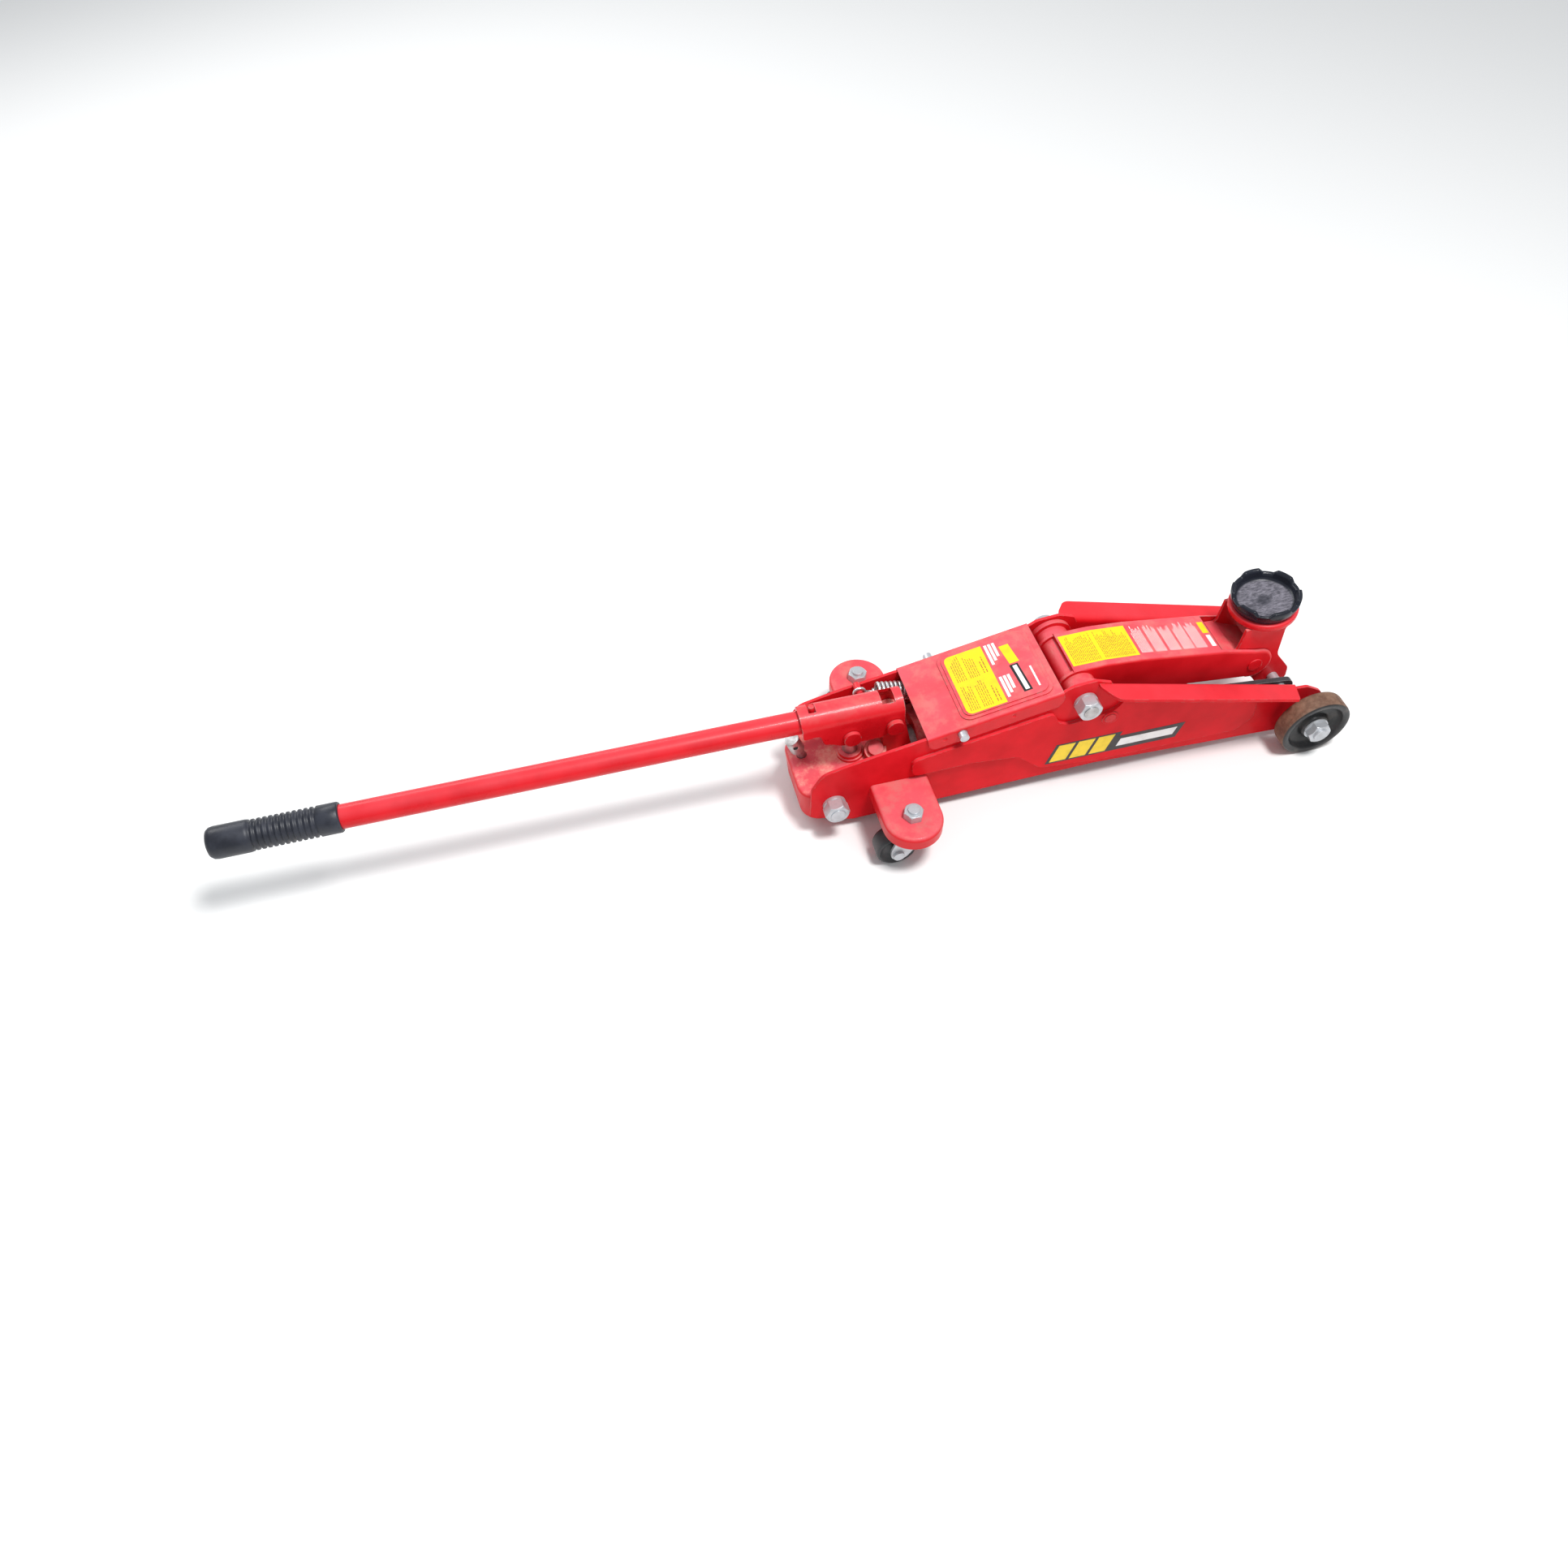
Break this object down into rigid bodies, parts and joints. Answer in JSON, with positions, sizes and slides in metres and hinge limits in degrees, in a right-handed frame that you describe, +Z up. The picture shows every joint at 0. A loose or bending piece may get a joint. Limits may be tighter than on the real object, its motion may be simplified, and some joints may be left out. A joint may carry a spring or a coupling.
{
  "type": "trolley jack",
  "caption": "Hydraulic trolley jack with flanged side plates, linked lift arm, swivel saddle cup, rear casters and a long ribbed-grip pump handle.",
  "frame": {"origin": "on the ground under the middle of the overall box", "axes": "+X forward to the saddle, +Y to the jack's left, +Z up"},
  "size_m": [0.9197, 0.2034, 0.1449],
  "materials": {
    "red_paint": "glossy red enamel, chipped at the edges",
    "red_casting": "red enamel on a casting, dusty on top",
    "zinc": "zinc-plated, dull silver",
    "steel": "bare ground steel",
    "dark_steel": "dark rolled steel",
    "black_saddle": "black enamel worn grey in the cup",
    "wheel_black": "black cast wheel with a rusty tread",
    "caster_black": "black nylon",
    "grip_rubber": "black ribbed rubber",
    "seal_rubber": "black seal rubber"
  },
  "bodies": {
    "frame": {"side_plate_left": "red_paint", "side_plate_right": "red_paint", "top_cover": "red_paint", "cover_pins": "zinc", "front_tie_plate": "red_paint", "main_shaft": "steel", "main_nuts": "zinc", "main_washers": "zinc", "rear_tie_bolt": "zinc", "rear_nuts": "zinc", "rear_washers": "zinc", "stub_axles": "zinc", "hub_washers": "zinc", "hub_nuts": "zinc", "caster_bracket_left": "red_paint", "caster_bracket_right": "red_paint", "caster_kingpins": "zinc", "caster_nuts": "zinc", "rod_pivot_pins": "red_paint", "spring_anchor": "red_paint", "pump_block": "red_casting", "pump_gland": "red_casting", "filler_plug": "red_casting", "reservoir_tube": "red_paint", "ram_cylinder": "steel", "cylinder_gland": "steel", "socket_pin": "red_paint", "return_spring": "zinc"},
    "lift_arm": {"lift_arm": "red_paint", "arm_pivot_tube": "red_paint", "thrust_collars": "red_paint", "ram_lugs": "red_paint", "ram_pin": "steel", "saddle_bracket_pin": "red_paint"},
    "saddle_bracket": {"saddle_bracket": "red_paint", "saddle_collar": "red_paint", "rod_front_pins": "zinc"},
    "saddle": {"saddle": "black_saddle", "saddle_circlip": "steel"},
    "radius_rods": {"radius_rod_left": "dark_steel", "radius_rod_right": "dark_steel"},
    "ram": {"ram_piston": "steel", "piston_seal": "seal_rubber", "ram_head": "steel"},
    "pump_plunger": {"pump_plunger": "steel", "plunger_head": "steel"},
    "handle_socket": {"handle_socket": "red_paint", "pump_pin": "red_paint"},
    "handle": {"handle_tube": "red_paint", "handle_lock_pin": "red_paint", "handle_grip": "grip_rubber"},
    "release_valve": {"release_valve": "steel"},
    "caster_fork_left": {"caster_fork_left": "zinc", "caster_axle_left": "zinc"},
    "caster_wheel_left": {"caster_wheel_left": "caster_black"},
    "caster_fork_right": {"caster_fork_right": "zinc", "caster_axle_right": "zinc"},
    "caster_wheel_right": {"caster_wheel_right": "caster_black"},
    "front_wheel_left": {"front_wheel_left": "wheel_black"},
    "front_wheel_right": {"front_wheel_right": "wheel_black"}
  },
  "joints": [
    {"name": "lift", "type": "hinge", "parent": "frame", "child": "lift_arm", "pos_m": [0.21529, 0, 0.09988], "axis": [0, -1, 0], "range_deg": [0, 64], "deforming": ["return_spring"]},
    {"name": "saddle_level", "type": "hinge", "parent": "lift_arm", "child": "saddle_bracket", "pos_m": [0.37776, 0, 0.08113], "axis": [0, -1, 0], "range_deg": [-64, 0]},
    {"name": "saddle_swivel", "type": "hinge", "parent": "saddle_bracket", "child": "saddle", "pos_m": [0.38228, 0, 0.13253], "axis": [-0.0993, 0, 0.9951], "continuous": true},
    {"name": "radius_rods_swing", "type": "hinge", "parent": "frame", "child": "radius_rods", "pos_m": [0.24015, 0, 0.07643], "axis": [0, -1, 0], "range_deg": [0, 64]},
    {"name": "ram_stroke", "type": "slide", "parent": "frame", "child": "ram", "axis": [0.9951, 0, 0.0993], "range_m": [0, 0.0501]},
    {"name": "pump_stroke", "type": "hinge", "parent": "frame", "child": "handle_socket", "pos_m": [0.0665, 0, 0.08533], "axis": [0, 1, 0], "range_deg": [0, 40]},
    {"name": "plunger_slide", "type": "slide", "parent": "frame", "child": "pump_plunger", "axis": [-0.0993, 0, 0.9951], "range_m": [0, 0.0236]},
    {"name": "handle_twist", "type": "hinge", "parent": "handle_socket", "child": "handle", "pos_m": [-0.00889, 0, 0.0966], "axis": [1, 0, 0.007], "range_deg": [-26, 0]},
    {"name": "release_turn", "type": "hinge", "parent": "frame", "child": "release_valve", "pos_m": [-0.00053, 0.0106, 0.03302], "axis": [-0.3546, 0, 0.935], "range_deg": [0, 360]},
    {"name": "caster_swivel_left", "type": "hinge", "parent": "frame", "child": "caster_fork_left", "pos_m": [0.0635, 0.0774, 0.038], "axis": [0, 0, 1], "continuous": true},
    {"name": "caster_roll_left", "type": "hinge", "parent": "caster_fork_left", "child": "caster_wheel_left", "pos_m": [0.0498, 0.0774, 0.0167], "axis": [0, 1, 0], "continuous": true},
    {"name": "front_wheel_roll_left", "type": "hinge", "parent": "frame", "child": "front_wheel_left", "pos_m": [0.4296, 0.0568, 0.0302], "axis": [0, 1, 0], "continuous": true},
    {"name": "caster_swivel_right", "type": "hinge", "parent": "frame", "child": "caster_fork_right", "pos_m": [0.0635, -0.0774, 0.038], "axis": [0, 0, 1], "continuous": true},
    {"name": "caster_roll_right", "type": "hinge", "parent": "caster_fork_right", "child": "caster_wheel_right", "pos_m": [0.0498, -0.0774, 0.0167], "axis": [0, 1, 0], "continuous": true},
    {"name": "front_wheel_roll_right", "type": "hinge", "parent": "frame", "child": "front_wheel_right", "pos_m": [0.4296, -0.0568, 0.0302], "axis": [0, 1, 0], "continuous": true}
  ],
  "couplings": [
    {"joint": "saddle_level", "follows": "lift", "ratio": -1},
    {"joint": "radius_rods_swing", "follows": "lift", "ratio": 1},
    {"joint": "ram_stroke", "follows": "lift", "m_per_rad": 0.04469},
    {"joint": "plunger_slide", "follows": "pump_stroke", "m_per_rad": 0.03347}
  ]
}
